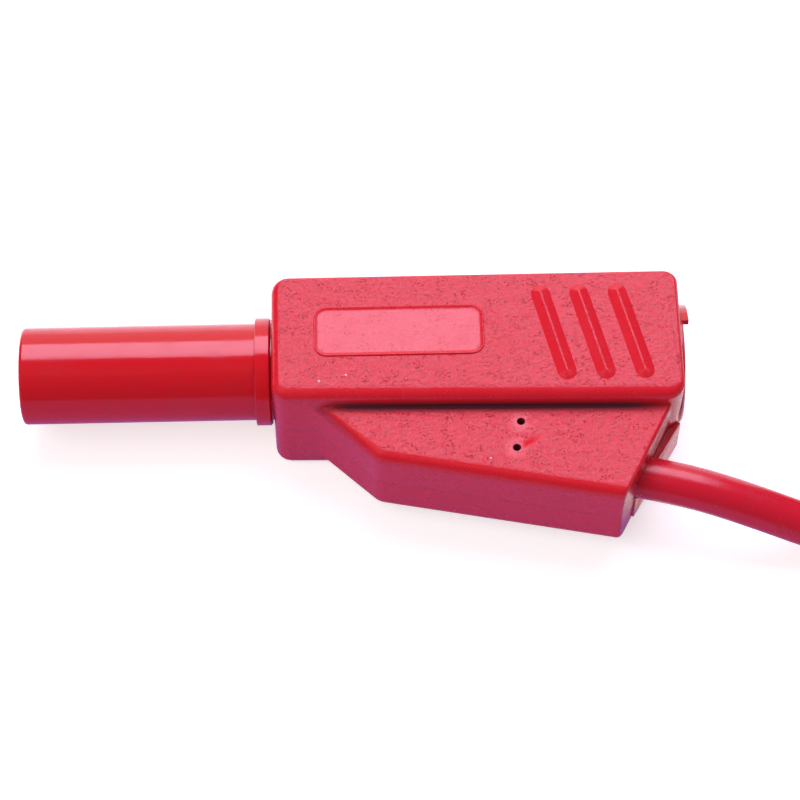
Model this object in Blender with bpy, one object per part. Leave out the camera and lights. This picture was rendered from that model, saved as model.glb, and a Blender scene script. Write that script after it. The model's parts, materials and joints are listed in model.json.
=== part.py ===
# Test lead with stackable shrouded 4 mm banana plugs.
# X runs along the plug from its open shroud towards its rear socket, Z is up,
# and the housing lies on Z = 0 with its middle over the origin.
# Sizes are in millimetres here and become metres when a piece is finished.
import math

import bmesh
import bpy
from mathutils import Matrix, Vector

MM = 0.001
SLIP = 0.1  # clearance between coaxial pieces that slide or press together
GAP = 0.3  # clearance between pieces that only lie against each other
FINE = 1e-4

# Housing block, moulded in two mould halves that part on the plug's axis
block_front = -16.95
block_back = 16.25
sleeve_radius = 4.9
housing_wall = 0.95
axis_height = sleeve_radius + housing_wall
block_height = 2 * axis_height
back_half_width = 5.62
front_half_width_nose = 5.6
front_half_width_tail = 6.15
nose_corner = 1.3
tail_corner = 1.4
tail_far_corner = 1.15
block_near_rim = 1.15
block_nose_rim = 0.75
block_far_rim = 0.35

# Cable wing on the front side of the block
wing_half_height = 4.25
wing_start_x = -13.6
wing_knee = (-8.5, -10.43)
wing_toe = (11.0, -14.2)
wing_heel = (15.24, -6.1)
wing_knee_radius = 1.6
wing_rim = 1.0
wing_end_edge = 0.25

# Landing under the cable, on the lower mould half only
landing_start = (12.3, -12.05)
landing_end = (16.3, -5.5)
landing_edge = 0.3

# Cable
cable_radius = 1.75
cable_length = 500.0
cable_exit = (12.95, -10.47)
cable_heading = math.radians(14.0)
cable_held = 9.3
cable_straight = 2.2
cable_bore_radius = cable_radius + SLIP
conductor_radius = 0.6

# Grip ribs and core-pin holes
rib_count = 3
rib_pitch = 3.13
rib_first_x = 5.9
rib_middle_y = -0.12
rib_half_length = 3.78
rib_half_width = 0.78
rib_height = 0.35
rib_slant = math.radians(14.2)
core_pin_holes = ((3.02, -7.4), (2.61, -9.74))
core_pin_radius = 0.34
core_pin_depth = 1.8

# Shroud, with its stacking collar and the root that the housing is moulded over
shroud_radius = 4.0
shroud_bore = 3.1
shroud_reach = 20.65
shroud_tip_edge = 0.3
collar_radius = 4.45
collar_length = 1.3
collar_gap = 0.15
root_flange_radius = 4.75
root_flange_front = -13.0
root_end = -11.5
shroud_floor = -17.3

# Contact pin
pin_recess = 0.95
pin_head_radius = 1.95
pin_head_length = 2.0
pin_core_radius = 1.45
pin_base_radius = 2.0
pin_base_front = -20.6
pin_flange_radius = 3.1
pin_flange_front = -11.3
pin_flange_back = -8.7
pin_stud_radius = 1.45
pin_stud_end = -5.0

# Lamella cage of the pin
cage_thickness = 0.2
cage_bulge = 0.42
cage_slots = 8
cage_slot_width = 0.45
cage_collar_length = 1.5

# Rear socket, its double-walled sleeve and the terminal
socket_bore = 2.03
socket_radius = 2.5
socket_flange_radius = 3.3
socket_front = -7.9
socket_flange_back = -5.6
socket_floor = -3.8
socket_mouth = 15.5
sleeve_wall = 0.6
sleeve_bore = sleeve_radius - sleeve_wall
sleeve_proud = 0.3
sleeve_key_proud = 0.48
sleeve_key_angles = (math.radians(17.0), math.radians(76.0))
sleeve_front = -5.2
sleeve_floor = -3.7
liner_radius = 3.0
liner_mouth = 16.1
liner_lip = 0.4
terminal_thickness = 0.6
terminal_front = -8.6
terminal_ring_radius = 3.2
terminal_tab_width = 2.6
barrel_y = -7.2
barrel_radius = 1.15
barrel_bore = 0.7
barrel_end = -1.5

# Where the cable droops on its way to the hank
sag_reach = 12.35
sag_height = 2 * cable_radius
sag_slope = 0.33
settle_reach = 11.7

# Hank of the cable that is put away, and its strap
hank_lift = axis_height - 3 * cable_radius
hank_left_x = 27.5
inner_turn = 3 * 2 * cable_radius
outer_turn = inner_turn + 2 * cable_radius
climbing_turn = 1.12 * inner_turn  # mean radius of the turn that climbs to the top layer
hank_middle_y = -1.6
hank_outline = outer_turn + cable_radius
hank_layers = 2
strap_width = 9.0
strap_thickness = 0.4
strap_gap = 0.1
leave_angle = math.radians(66.0)
leave_straight = 0.5
arrive_radius = 12.0
arrive_straight = 5.0

shroud_tip = block_front - shroud_reach
pin_tip = shroud_tip + pin_recess


def finish(bm, name, material):
    """Turn a mesh in millimetres into the finished object in metres."""
    bmesh.ops.remove_doubles(bm, verts=bm.verts, dist=FINE)
    bmesh.ops.dissolve_degenerate(bm, edges=bm.edges, dist=FINE)
    bmesh.ops.recalc_face_normals(bm, faces=bm.faces)
    bm.transform(Matrix.Scale(MM, 4))
    mesh = bpy.data.meshes.new(name)
    bm.to_mesh(mesh)
    bm.free()
    obj = bpy.data.objects.new(name, mesh)
    bpy.context.scene.collection.objects.link(obj)
    obj.data.materials.append(material)
    return obj


def scratch(bm, name="scratch"):
    """Put a mesh in the scene for the length of one boolean."""
    bmesh.ops.recalc_face_normals(bm, faces=bm.faces)
    mesh = bpy.data.meshes.new(name)
    bm.to_mesh(mesh)
    bm.free()
    obj = bpy.data.objects.new(name, mesh)
    bpy.context.scene.collection.objects.link(obj)
    return obj


def combine(base, others, operation):
    """Join or cut the mesh base with each of the others in turn."""
    body = scratch(base, "body")
    for other in others:
        tool = scratch(other, "tool")
        step = body.modifiers.new("step", "BOOLEAN")
        step.object = tool
        step.operation = operation
        step.solver = "EXACT"
        result = body.evaluated_get(bpy.context.evaluated_depsgraph_get())
        mesh = bpy.data.meshes.new_from_object(result)
        body.modifiers.remove(step)
        body.data = mesh
        bpy.data.objects.remove(tool)
    bm = bmesh.new()
    bm.from_mesh(body.data)
    bpy.data.objects.remove(body)
    bmesh.ops.remove_doubles(bm, verts=bm.verts, dist=FINE)
    return bm


def rounded(corners):
    """Plan outline through (x, y, radius, steps) corners, each one rounded."""
    points = []
    for i, (x, y, radius, steps) in enumerate(corners):
        here = Vector((x, y))
        before = Vector(corners[i - 1][:2]) - here
        after = Vector(corners[(i + 1) % len(corners)][:2]) - here
        if radius == 0:
            points.append(here)
            continue
        before.normalize()
        after.normalize()
        half = before.angle(after) / 2
        centre = here + (before + after).normalized() * radius / math.sin(half)
        start = here + before * radius / math.tan(half) - centre
        turn = start.angle_signed(here + after * radius / math.tan(half) - centre)
        for k in range(steps + 1):
            points.append(centre + Matrix.Rotation(-turn * k / steps, 2) @ start)
    return points


def prism(points, low, high):
    """Solid between two heights over a plan outline."""
    bm = bmesh.new()
    floor = bm.faces.new([bm.verts.new((p[0], p[1], low)) for p in points])
    raised = bmesh.ops.extrude_face_region(bm, geom=[floor])["geom"]
    top = [v for v in raised if isinstance(v, bmesh.types.BMVert)]
    bmesh.ops.translate(bm, verts=top, vec=(0, 0, high - low))
    bmesh.ops.recalc_face_normals(bm, faces=bm.faces)
    return bm


def round_edges(bm, chosen, radius, steps):
    """Round the edges for which chosen is true."""
    edges = [e for e in bm.edges if chosen(e)]
    bmesh.ops.bevel(bm, geom=edges, offset=radius, offset_type="OFFSET", segments=steps,
                    profile=0.5, affect="EDGES", clamp_overlap=False)


def round_rims(bm, chosen, nose, near, far, steps):
    """Round level edges: by nose at the front, near on the cable side and far elsewhere."""
    weight = bm.edges.layers.float.new("bevel_weight_edge")
    middle = sum((v.co for v in bm.verts), Vector()) / len(bm.verts)
    for edge in filter(chosen, bm.edges):
        a, b = (v.co for v in edge.verts)
        across = Vector((b.y - a.y, a.x - b.x)).normalized()
        if across.dot(((a + b) / 2 - middle).xy) < 0:
            across.negate()
        width = across.x**2 * (nose if across.x < 0 else far)
        width += across.y**2 * (near if across.y < 0 else far)
        edge[weight] = width / near
    body = scratch(bm)
    rounding = body.modifiers.new("rims", "BEVEL")
    rounding.width = near
    rounding.segments = steps
    rounding.limit_method = "WEIGHT"
    rounding.use_clamp_overlap = False
    mesh = bpy.data.meshes.new_from_object(body.evaluated_get(bpy.context.evaluated_depsgraph_get()))
    bpy.data.objects.remove(body)
    result = bmesh.new()
    result.from_mesh(mesh)
    return result


def at_height(*heights):
    """Chooses the edges that lie level at one of the heights."""
    def chosen(edge):
        return any(all(abs(v.co.z - h) < FINE for v in edge.verts) for h in heights)
    return chosen


def turned(profile, steps, y=0.0, z=axis_height):
    """Solid of revolution about the plug's axis from a closed (x, radius) profile."""
    bm = bmesh.new()
    verts = [bm.verts.new((x, r, 0)) for x, r in profile]
    edges = [bm.edges.new((a, b)) for a, b in zip(verts, verts[1:] + verts[:1])]
    bmesh.ops.spin(bm, geom=verts + edges, cent=(0, 0, 0), axis=(1, 0, 0), angle=2 * math.pi,
                   steps=steps, use_merge=True)
    bmesh.ops.remove_doubles(bm, verts=bm.verts, dist=FINE)
    loose = [e for e in bm.edges if not e.link_faces]
    bmesh.ops.delete(bm, geom=loose, context="EDGES")
    bmesh.ops.recalc_face_normals(bm, faces=bm.faces)
    bmesh.ops.translate(bm, verts=bm.verts, vec=(0, y, z))
    return bm


def rod(start, heading, length, radius, steps=20):
    """Round bar from start, heading away from the X axis in plan."""
    bm = turned([(0, 0), (0, radius), (length, radius), (length, 0)], steps, 0, 0)
    place = Matrix.Translation((start[0], start[1], axis_height)) @ Matrix.Rotation(heading, 4, "Z")
    bmesh.ops.transform(bm, matrix=place, verts=bm.verts)
    return bm


def block():
    """Main block of the housing, a little wider towards the cable side at its rear."""
    outline = rounded([
        (block_front, back_half_width, nose_corner, 4),
        (block_front, -front_half_width_nose, nose_corner, 4),
        (block_back, -front_half_width_tail, tail_corner, 6),
        (block_back, back_half_width, tail_far_corner, 6),
    ])
    bm = prism(outline, 0, block_height)
    return round_rims(bm, at_height(0, block_height), block_nose_rim, block_near_rim, block_far_rim, 4)


def beyond(start, end, distance):
    """Point past end on the line from start."""
    a, b = Vector(start), Vector(end)
    return b + (b - a).normalized() * distance


def wing():
    """Cable wing, rounded along its rims and cut off square where the cable leaves."""
    low, high = axis_height - wing_half_height, axis_height + wing_half_height
    past = beyond(wing_knee, wing_toe, 4)
    outline = rounded([
        (wing_start_x + 2.0, -3.8, 0, 0),
        (wing_start_x - 0.05, -front_half_width_nose, 0, 0),
        (*wing_knee, wing_knee_radius, 3),
        (past.x, past.y, 0, 0),
        (past.x + 2, -3.8, 0, 0),
    ])
    bm = prism(outline, low, high)
    rims = at_height(low, high)
    outside = -front_half_width_nose + FINE
    round_edges(bm, lambda e: rims(e) and max(v.co.y for v in e.verts) < outside, wing_rim, 4)
    along = (Vector(wing_heel) - Vector(wing_toe)).normalized()
    cut = bmesh.ops.bisect_plane(bm, geom=bm.verts[:] + bm.edges[:] + bm.faces[:], dist=FINE,
                                 plane_co=(*wing_toe, 0), plane_no=(along.y, -along.x, 0),
                                 clear_outer=True)["geom_cut"]
    face = bmesh.ops.contextual_create(bm, geom=[g for g in cut if isinstance(g, bmesh.types.BMEdge)])
    rim = set(face["faces"][0].edges)
    round_edges(bm, lambda e: e in rim and min(v.co.y for v in e.verts) < outside, wing_end_edge, 2)
    return bm


def landing():
    """Raised landing under the cable, on the lower mould half only."""
    low = axis_height - wing_half_height
    start, end = Vector(landing_start), Vector(landing_end)
    inward = Vector((start.y - end.y, end.x - start.x)).normalized() * 3.0
    outline = [start, end, end + inward, start + inward]
    bm = prism(outline, low + wing_end_edge, axis_height)
    upper = at_height(axis_height)
    outer = [start, end]
    round_edges(bm, lambda e: upper(e) and all(min((v.co.xy - p).length for p in outer) < FINE for v in e.verts),
                landing_edge, 3)
    return bm


def rib(x):
    """One slanting grip rib: two facets that meet in a ridge, with round ends."""
    foot = block_height - 0.2
    ends = []
    for side in (1, -1):
        ends += [Vector((math.cos(a) * rib_half_width, side * rib_half_length + math.sin(a) * rib_half_width))
                 for a in [math.pi * (k / 6 + (0 if side > 0 else 1)) for k in range(7)]]
    bm = bmesh.new()
    rim = [bm.verts.new((p.x, p.y, foot)) for p in ends]
    bm.faces.new(rim)
    step = [bm.verts.new((p.x, p.y, block_height)) for p in ends]
    ridge = [bm.verts.new((0, side * rib_half_length, block_height + rib_height)) for side in (1, -1)]
    count = len(ends)
    half = count // 2
    for i in range(count):
        bm.faces.new((rim[i], rim[(i + 1) % count], step[(i + 1) % count], step[i]))
    for i in range(half - 1):
        bm.faces.new((step[i], step[i + 1], ridge[0]))
        bm.faces.new((step[half + i], step[half + i + 1], ridge[1]))
    bm.faces.new((step[half - 1], step[half], ridge[1], ridge[0]))
    bm.faces.new((step[count - 1], step[0], ridge[0], ridge[1]))
    place = Matrix.Translation((x, rib_middle_y, 0)) @ Matrix.Rotation(rib_slant, 4, "Z")
    bmesh.ops.transform(bm, matrix=place, verts=bm.verts)
    bmesh.ops.recalc_face_normals(bm, faces=bm.faces)
    return bm


def axis_cavity():
    """Stepped room along the axis for the shroud's root, the contact and the rear sleeve."""
    root, flange = shroud_radius + SLIP, root_flange_radius + SLIP
    chamber, rear = socket_flange_radius + 2 * SLIP, sleeve_radius + SLIP
    front_step, end_step = root_flange_front - SLIP, root_end + SLIP
    return turned([
        (block_front - 1, 0), (block_front - 1, root), (front_step, root), (front_step, flange),
        (end_step, flange), (end_step, chamber), (sleeve_front - SLIP, chamber),
        (sleeve_front - SLIP, rear), (block_back + 1, rear), (block_back + 1, 0),
    ], 32)


def cable_start():
    """Where the jacket of the cable ends inside the housing."""
    return (cable_exit[0] - cable_held * math.cos(cable_heading),
            cable_exit[1] + cable_held * math.sin(cable_heading))


def tab_cavity():
    """Room for the terminal's tab."""
    half = terminal_tab_width / 2 + SLIP
    far = barrel_y - barrel_radius - 2 * SLIP
    bm = prism([(terminal_front - SLIP, -2.5), (terminal_front - SLIP, far),
                (terminal_front + terminal_thickness + SLIP, far),
                (terminal_front + terminal_thickness + SLIP, -2.5)],
               axis_height - half, axis_height + half)
    return bm


def housing(material):
    bm = combine(block(), [wing(), landing()], "UNION")
    ribs = [rib(rib_first_x + rib_pitch * k) for k in range(rib_count)]
    bm = combine(bm, ribs, "UNION")
    sx, sy = cable_start()
    reach = cable_held + 4
    cuts = [axis_cavity(), rod((sx, sy), -cable_heading, reach, cable_bore_radius, 24), tab_cavity(),
            rod((terminal_front + 0.3, barrel_y), 0, barrel_end - terminal_front, barrel_radius + 2 * SLIP, 16),
            rod((barrel_end - 0.6, barrel_y), math.atan2(sy - barrel_y, sx - barrel_end),
                sx + 1.2 - barrel_end, conductor_radius + 0.45, 12)]
    for x, y in core_pin_holes:
        top = axis_height + wing_half_height
        hole = [(x + core_pin_radius * math.cos(math.pi * k / 6), y + core_pin_radius * math.sin(math.pi * k / 6))
                for k in range(12)]
        cuts.append(prism(hole, top - core_pin_depth, top + 1))
    bm = combine(bm, cuts, "DIFFERENCE")
    return finish(bm, "housing", material)


def shroud(material):
    """Touch-proof tube around the pin, with the stacking collar and the anchored root."""
    tip, back = shroud_tip, block_front - collar_gap
    edge, r = shroud_tip_edge, shroud_radius
    bore = pin_base_radius + SLIP
    profile = [
        (tip, shroud_bore + edge), (tip, r - edge), (tip + 0.09, r - 0.09), (tip + edge, r),
        (back - collar_length, r), (back - collar_length, collar_radius - 0.06),
        (back - collar_length + 0.06, collar_radius), (back - 0.15, collar_radius),
        (back, collar_radius - 0.15), (back, r), (root_flange_front, r),
        (root_flange_front, root_flange_radius), (root_end, root_flange_radius), (root_end, bore),
        (shroud_floor, bore), (shroud_floor, shroud_bore), (tip + edge, shroud_bore),
    ]
    return finish(turned(profile, 32), "shroud", material)


def contact_pin(material):
    """Turned pin: round nose, core for the cage, base, clamping flange and stud."""
    head, core, base = pin_head_radius, pin_core_radius, pin_base_radius
    tip = pin_tip
    profile = [
        (tip, 0), (tip, 0.75), (tip + 0.2, 1.25), (tip + 0.55, 1.65), (tip + 1.1, head),
        (tip + pin_head_length - 0.2, head), (tip + pin_head_length, head - 0.2),
        (tip + pin_head_length, core), (pin_base_front, core), (pin_base_front, base - 0.15),
        (pin_base_front + 0.15, base), (pin_flange_front, base), (pin_flange_front, pin_flange_radius),
        (pin_flange_back, pin_flange_radius), (pin_flange_back, pin_stud_radius),
        (pin_stud_end - 0.2, pin_stud_radius), (pin_stud_end, pin_stud_radius - 0.2), (pin_stud_end, 0),
    ]
    return finish(turned(profile, 28), "contact_pin", material)


def lamella_cage(material, bows=8):
    """Slotted spring sleeve whose lamellas bow outwards between two plain collars."""
    front = pin_tip + pin_head_length + SLIP
    back = pin_base_front - SLIP
    inner = pin_core_radius + SLIP / 2
    spring = back - front - 2 * cage_collar_length
    path = [(front, inner)]
    path += [(front + cage_collar_length + spring * k / bows,
              inner + cage_bulge * math.sin(math.pi * k / bows)) for k in range(bows + 1)]
    path += [(back, inner)]
    profile = path + [(x, r + cage_thickness) for x, r in reversed(path)]
    sleeve = turned(profile, 32)
    slots = []
    for k in range(cage_slots // 2):
        half = cage_slot_width / 2
        slot = prism([(front + cage_collar_length + 0.2, -half), (back - cage_collar_length - 0.2, -half),
                      (back - cage_collar_length - 0.2, half), (front + cage_collar_length + 0.2, half)],
                     -4, 4)
        bmesh.ops.rotate(slot, verts=slot.verts, cent=(0, 0, 0),
                         matrix=Matrix.Rotation(2 * math.pi * (k + 0.5) / cage_slots, 3, "X"))
        bmesh.ops.translate(slot, verts=slot.verts, vec=(0, 0, axis_height))
        slots.append(slot)
    return finish(combine(sleeve, slots, "DIFFERENCE"), "lamella_cage", material)


def rear_socket(material):
    """Turned socket for the next plug's pin, with a stud hole in its clamping flange."""
    stud = pin_stud_radius + SLIP / 2
    profile = [
        (socket_front, stud), (socket_front, socket_flange_radius),
        (socket_flange_back, socket_flange_radius), (socket_flange_back, socket_radius),
        (socket_mouth, socket_radius), (socket_mouth, socket_bore + 0.15),
        (socket_mouth - 0.3, socket_bore), (socket_floor, socket_bore), (socket_floor, 0),
        (pin_stud_end + GAP, 0), (pin_stud_end + GAP, stud),
    ]
    return finish(turned(profile, 28), "rear_socket", material)


def sleeve_key(mouth):
    """Short key that stands on the sleeve's rim, on the side away from the cable."""
    start, end = sleeve_key_angles
    angles = [start + (end - start) * k / 6 for k in range(7)]
    outline = [(r * math.cos(a), r * math.sin(a))
               for r, order in ((sleeve_radius - SLIP / 2, angles), (sleeve_bore + SLIP, angles[::-1])) for a in order]
    bm = prism(outline, mouth - 1.5 * SLIP, mouth + sleeve_key_proud)
    upright = Matrix(((0, 0, 1, 0), (0, 1, 0, 0), (1, 0, 0, axis_height), (0, 0, 0, 1)))
    bmesh.ops.transform(bm, matrix=upright, verts=bm.verts)
    return bm


def rear_sleeve(material):
    """Insulating sleeve: outer wall, floor, and a liner with a lip over the socket's mouth."""
    mouth = block_back + sleeve_proud
    inner = socket_radius + SLIP
    profile = [
        (sleeve_front, inner), (sleeve_front, sleeve_radius), (mouth - 0.15, sleeve_radius),
        (mouth, sleeve_radius - 0.15), (mouth, sleeve_bore + 0.1), (mouth - 0.25, sleeve_bore),
        (sleeve_floor, sleeve_bore), (sleeve_floor, liner_radius), (liner_mouth - 0.3, liner_radius),
        (liner_mouth, liner_radius - 0.3), (liner_mouth, socket_bore + 0.25),
        (liner_mouth - liner_lip, socket_bore + SLIP), (liner_mouth - liner_lip, inner),
    ]
    return finish(combine(turned(profile, 32), [sleeve_key(mouth)], "UNION"), "rear_sleeve", material)


def crimp_terminal(material):
    """Stamped ring clamped between pin and socket, with a tab and a crimp barrel."""
    front, back = terminal_front, terminal_front + terminal_thickness
    half, r = terminal_tab_width / 2, terminal_ring_radius
    side = math.asin(half / r)
    arc = [-math.pi / 2 + side + (2 * math.pi - 2 * side) * k / 24 for k in range(25)]
    outline = [(r * math.cos(a), r * math.sin(a)) for a in arc]
    outline += [(-half, barrel_y), (half, barrel_y)]
    bm = prism(outline, front, back)
    upright = Matrix(((0, 0, 1, 0), (0, 1, 0, 0), (1, 0, 0, axis_height), (0, 0, 0, 1)))
    bmesh.ops.transform(bm, matrix=upright, verts=bm.verts)
    barrel = rod((front + 0.2, barrel_y), 0, barrel_end - front - 0.2, barrel_radius, 16)
    bm = combine(bm, [barrel], "UNION")
    stud = rod((front - 1, 0), 0, 3, pin_stud_radius + SLIP / 2, 24)
    wire = rod((back + 0.4, barrel_y), 0, barrel_end - back + 1, barrel_bore, 12)
    bm = combine(bm, [stud, wire], "DIFFERENCE")
    return finish(bm, "crimp_terminal", material)


def tube(name, route, radius, material, sides=2):
    """Round wire along a route given in millimetres."""
    data = bpy.data.curves.new(name, "CURVE")
    data.dimensions = "3D"
    data.bevel_depth = radius * MM
    data.bevel_resolution = sides
    data.use_fill_caps = True
    line = data.splines.new("POLY")
    line.points.add(len(route) - 1)
    for point, place in zip(line.points, route):
        point.co = (*(Vector(place) * MM), 1)
    obj = bpy.data.objects.new(name, data)
    bpy.context.scene.collection.objects.link(obj)
    obj.data.materials.append(material)
    return obj


def bent(p0, d0, p1, d1, steps):
    """Smooth curve from p0 heading d0 to p1 heading d1."""
    p0, p1 = Vector(p0), Vector(p1)
    reach = p1.x - p0.x
    m0, m1 = Vector(d0) * reach, Vector(d1) * reach
    points = []
    for k in range(steps + 1):
        u = k / steps
        points.append(p0 * (1 - 3 * u * u + 2 * u**3) + m0 * (u - 2 * u * u + u**3)
                      + p1 * (3 * u * u - 2 * u**3) + m1 * (u**3 - u * u))
    return points


def length_of(points):
    return sum((b - a).length for a, b in zip(points, points[1:]))


def lead_route(steps=12):
    """From inside the near housing, out of its cable hole and down to the hank."""
    slope = -math.tan(cable_heading)
    sag_x = cable_exit[0] + sag_reach
    sag = (sag_x, cable_exit[1] + slope * sag_reach, sag_height)
    start = cable_start()
    out = (cable_exit[0] + cable_straight * math.cos(cable_heading),
           cable_exit[1] - cable_straight * math.sin(cable_heading))
    held = [Vector((*start, axis_height)), Vector((*cable_exit, axis_height))]
    outer_y = hank_middle_y - outer_turn
    floor = hank_lift + cable_radius
    first = bent((*out, axis_height), (1, slope, 0), sag, (1, slope, -sag_slope), steps)
    down = bent(sag, (1, slope, -sag_slope), (sag_x + settle_reach, outer_y, floor), (1, 0, 0), steps)
    return held, first + down[1:]


def leave_route(right_x, steps=8):
    """From the hank's top layer, round its end and over to the far housing."""
    height = hank_lift + 3 * cable_radius
    centre = Vector((right_x, hank_middle_y, 0))
    points = []
    for k in range(steps + 1):
        a = leave_angle * k / steps
        points.append(centre + Vector((math.sin(a), -math.cos(a), 0)) * outer_turn)
    ahead = Vector((math.cos(leave_angle), math.sin(leave_angle), 0))
    points.append(points[-1] + ahead * leave_straight)
    pivot = points[-1] + Vector((ahead.y, -ahead.x, 0)) * arrive_radius
    spoke = points[-1] - pivot
    turn = leave_angle + cable_heading
    for k in range(1, steps + 1):
        points.append(pivot + Matrix.Rotation(-turn * k / steps, 3, "Z") @ spoke)
    points.append(points[-1] + Vector((math.cos(cable_heading), -math.sin(cable_heading), 0)) * arrive_straight)
    whole = length_of(points)
    done = 0.0
    last = points[0]
    routed = []
    for p in points:
        done += (p - last).length
        last = p
        routed.append(Vector((p.x, p.y, height + (axis_height - height) * done / whole)))
    return routed


def hank_run():
    """Straight length of the hank's turns that makes the cable its full length."""
    held, lead = lead_route(40)
    left = hank_left_x + hank_outline
    fixed = cable_straight + length_of(lead) + left - lead[-1].x + length_of(leave_route(0.0, 40))
    turns = math.pi * (2 * outer_turn + 2 * inner_turn + (inner_turn + outer_turn) / 2 + climbing_turn)
    return (cable_length - fixed - turns) / 7


def hank(material, run):
    """Outer shape of the folded cable."""
    left = hank_left_x + hank_outline
    right = left + run
    outline = []
    for k in range(13):
        a = math.pi * (0.5 + k / 12)
        outline.append((left + hank_outline * math.cos(a), hank_middle_y + hank_outline * math.sin(a)))
    for k in range(13):
        a = math.pi * (1.5 + k / 12)
        outline.append((right + hank_outline * math.cos(a), hank_middle_y + hank_outline * math.sin(a)))
    low = hank_lift
    high = hank_lift + hank_layers * 2 * cable_radius
    bm = prism(outline, low, high)
    round_edges(bm, at_height(low, high), cable_radius * 0.8, 2)
    return finish(bm, "cable_hank", material)


def strap(material, run):
    """Strap that goes once round the middle of the hank."""
    middle = hank_left_x + hank_outline + run / 2
    inner = hank_outline + strap_gap
    low = hank_lift - strap_gap
    high = hank_lift + hank_layers * 2 * cable_radius + strap_gap
    t = strap_thickness

    def ring(grow):
        corner = cable_radius * 0.8 + grow
        return rounded([(inner + grow, low - grow, corner, 3), (inner + grow, high + grow, corner, 3),
                        (-inner - grow, high + grow, corner, 3), (-inner - grow, low - grow, corner, 3)])
    outside, inside = prism(ring(t), 0, strap_width), prism(ring(0), -1, strap_width + 1)
    bm = combine(outside, [inside], "DIFFERENCE")
    place = Matrix(((0, 0, 1, middle - strap_width / 2), (1, 0, 0, hank_middle_y), (0, 1, 0, 0), (0, 0, 0, 1)))
    bmesh.ops.transform(bm, matrix=place, verts=bm.verts)
    return finish(bm, "hank_strap", material)


def spaced(points, step):
    """Points a step apart along a line, with its ends kept."""
    whole = length_of(points)
    count = max(1, round(whole / step))
    kept, done, i = [points[0]], 0.0, 0
    for k in range(1, count):
        goal = whole * k / count
        while done + (points[i + 1] - points[i]).length < goal:
            done += (points[i + 1] - points[i]).length
            i += 1
        kept.append(points[i].lerp(points[i + 1], (goal - done) / (points[i + 1] - points[i]).length))
    return kept + [points[-1]]


def conductor(material):
    """Bare strands between the end of the jacket and the crimp barrel."""
    sx, sy = cable_start()
    slope = -math.tan(cable_heading)
    inside = Vector((terminal_front + terminal_thickness + 0.8, barrel_y, axis_height))
    route = [inside, Vector((barrel_end + 0.5, barrel_y, axis_height))]
    route += bent(route[-1], (1, 0, 0), (sx - GAP, sy - slope * -GAP, axis_height), (1, slope, 0), 4)[1:]
    return tube("conductor", route, conductor_radius, material, 1)


def plug(materials):
    """The eight pieces of one plug."""
    return [
        housing(materials["moulded_red"]), shroud(materials["gloss_red"]),
        rear_sleeve(materials["gloss_red"]), contact_pin(materials["turned_brass"]),
        lamella_cage(materials["spring_metal"]), rear_socket(materials["turned_brass"]),
        crimp_terminal(materials["turned_brass"]), conductor(materials["bare_copper"]),
    ]


def far_copy(piece, place):
    """The same piece on the plug at the other end of the lead."""
    data = piece.data.copy()
    data.name = "far_" + piece.name
    if isinstance(data, bpy.types.Mesh):
        data.transform(place)
    else:
        for point in data.splines[0].points:
            point.co = (*(place @ point.co.to_3d()), 1)
    copy = bpy.data.objects.new("far_" + piece.name, data)
    bpy.context.scene.collection.objects.link(copy)
    return copy


def material(name, colour, roughness, metallic=0.0):
    made = bpy.data.materials.new(name)
    made.use_nodes = True
    shader = made.node_tree.nodes["Principled BSDF"]
    shader.inputs["Base Color"].default_value = (*colour, 1)
    shader.inputs["Roughness"].default_value = roughness
    shader.inputs["Metallic"].default_value = metallic
    made.diffuse_color = (*colour, 1)
    return made


def main():
    for old in list(bpy.data.objects):
        bpy.data.objects.remove(old)
    materials = {
        "moulded_red": material("moulded_red", (0.70, 0.012, 0.045), 0.45),
        "gloss_red": material("gloss_red", (0.72, 0.008, 0.03), 0.15),
        "turned_brass": material("turned_brass", (0.80, 0.62, 0.30), 0.25, 1.0),
        "spring_metal": material("spring_metal", (0.85, 0.78, 0.60), 0.22, 1.0),
        "bare_copper": material("bare_copper", (0.80, 0.42, 0.26), 0.35, 1.0),
        "cable_red": material("cable_red", (0.72, 0.010, 0.035), 0.3),
        "strap_black": material("strap_black", (0.03, 0.03, 0.032), 0.8),
    }
    near = plug(materials)
    run = hank_run()
    left = hank_left_x + hank_outline
    leave = leave_route(left + run, 24)
    exit_x, exit_y = leave[-1].x, leave[-1].y
    place = (Matrix.Translation(Vector((exit_x + cable_exit[0], exit_y + cable_exit[1], 0)) * MM)
             @ Matrix.Rotation(math.pi, 4, "Z"))
    far = [far_copy(piece, place) for piece in near]

    cable = materials["cable_red"]
    held, out = lead_route(24)
    clear = hank_outline + cable_radius
    outside = [p for p in out
               if (p - Vector((left, hank_middle_y, p.z))).length > clear]
    tube("cable_lead", held[:1] + spaced(outside, 4 * cable_radius), cable_radius, cable)

    clear = hank_outline + cable_radius / 2
    off = [p for p in leave
           if (p - Vector((left + run, hank_middle_y, p.z))).length > clear]
    inner = leave[-1] + Vector((math.cos(cable_heading), -math.sin(cable_heading), 0)) * cable_held
    tube("cable_tail", spaced(off[:-1], 2 * cable_radius) + [inner], cable_radius, cable)
    hank(cable, run)
    strap(materials["strap_black"], run)
    return near, far


main()
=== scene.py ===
import json
import math

import bpy
from mathutils import Matrix, Vector

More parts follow.
